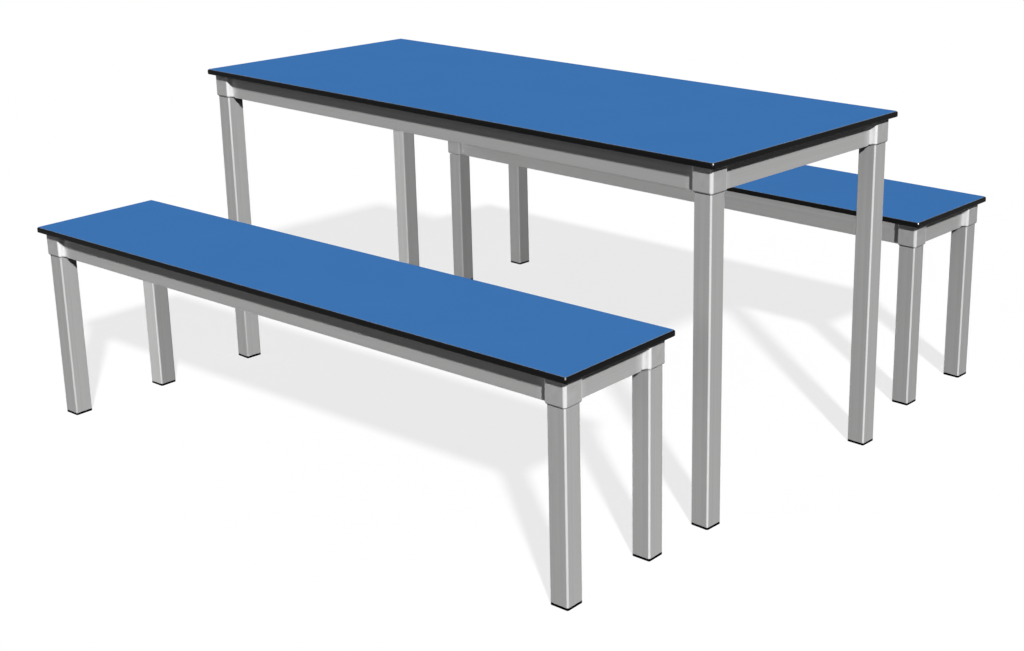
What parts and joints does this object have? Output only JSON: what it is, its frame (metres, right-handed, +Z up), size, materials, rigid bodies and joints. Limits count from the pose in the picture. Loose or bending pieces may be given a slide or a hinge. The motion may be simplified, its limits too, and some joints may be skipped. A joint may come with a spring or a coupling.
{
  "type": "outdoor table and bench set",
  "caption": "Rectangular outdoor table with a free-standing bench along each side: blue laminate panels on square-legged aluminium frames with cast corners and plastic feet.",
  "frame": {"origin": "on the floor, under the middle of the whole set's box", "axes": "+X along the table's length, +Y towards the far bench, +Z up"},
  "size_m": [1.5654, 1.5586, 0.71],
  "materials": {
    "blue_laminate": "fine matt texture",
    "black_core": "machined edge, satin",
    "extruded_aluminium": "satin, fine lengthwise lines",
    "cast_aluminium": "satin, blasted",
    "black_plastic": "matt",
    "plated_steel": "zinc plated"
  },
  "bodies": {
    "table": {"table_panel_core": "black_core", "table_panel_blue_face": "blue_laminate", "table_casting_back_right": "cast_aluminium", "table_casting_back_left": "cast_aluminium", "table_casting_front_left": "cast_aluminium", "table_casting_front_right": "cast_aluminium", "table_leg_back_right": "extruded_aluminium", "table_leg_back_left": "extruded_aluminium", "table_leg_front_left": "extruded_aluminium", "table_leg_front_right": "extruded_aluminium", "table_foot_back_right": "black_plastic", "table_foot_back_left": "black_plastic", "table_foot_front_left": "black_plastic", "table_foot_front_right": "black_plastic", "table_rail_front": "extruded_aluminium", "table_rail_back": "extruded_aluminium", "table_rail_left": "extruded_aluminium", "table_rail_right": "extruded_aluminium", "table_bracket_front": "plated_steel", "table_bracket_back": "plated_steel"},
    "near_bench": {"near_bench_panel_core": "black_core", "near_bench_panel_blue_face": "blue_laminate", "near_bench_casting_back_right": "cast_aluminium", "near_bench_casting_back_left": "cast_aluminium", "near_bench_casting_front_left": "cast_aluminium", "near_bench_casting_front_right": "cast_aluminium", "near_bench_leg_back_right": "extruded_aluminium", "near_bench_leg_back_left": "extruded_aluminium", "near_bench_leg_front_left": "extruded_aluminium", "near_bench_leg_front_right": "extruded_aluminium", "near_bench_foot_back_right": "black_plastic", "near_bench_foot_back_left": "black_plastic", "near_bench_foot_front_left": "black_plastic", "near_bench_foot_front_right": "black_plastic", "near_bench_rail_front": "extruded_aluminium", "near_bench_rail_back": "extruded_aluminium", "near_bench_rail_left": "extruded_aluminium", "near_bench_rail_right": "extruded_aluminium", "near_bench_bracket_front": "plated_steel", "near_bench_bracket_back": "plated_steel"},
    "far_bench": {"far_bench_panel_core": "black_core", "far_bench_panel_blue_face": "blue_laminate", "far_bench_casting_back_right": "cast_aluminium", "far_bench_casting_back_left": "cast_aluminium", "far_bench_casting_front_left": "cast_aluminium", "far_bench_casting_front_right": "cast_aluminium", "far_bench_leg_back_right": "extruded_aluminium", "far_bench_leg_back_left": "extruded_aluminium", "far_bench_leg_front_left": "extruded_aluminium", "far_bench_leg_front_right": "extruded_aluminium", "far_bench_foot_back_right": "black_plastic", "far_bench_foot_back_left": "black_plastic", "far_bench_foot_front_left": "black_plastic", "far_bench_foot_front_right": "black_plastic", "far_bench_rail_front": "extruded_aluminium", "far_bench_rail_back": "extruded_aluminium", "far_bench_rail_left": "extruded_aluminium", "far_bench_rail_right": "extruded_aluminium", "far_bench_bracket_front": "plated_steel", "far_bench_bracket_back": "plated_steel"}
  },
  "joints": [
    {"name": "near_bench_slide", "type": "slide", "parent": "table", "child": "near_bench", "axis": [0, -1, 0], "range_m": [-0.108, 0.4]},
    {"name": "far_bench_slide", "type": "slide", "parent": "table", "child": "far_bench", "axis": [0, 1, 0], "range_m": [-0.184, 0.4]}
  ]
}
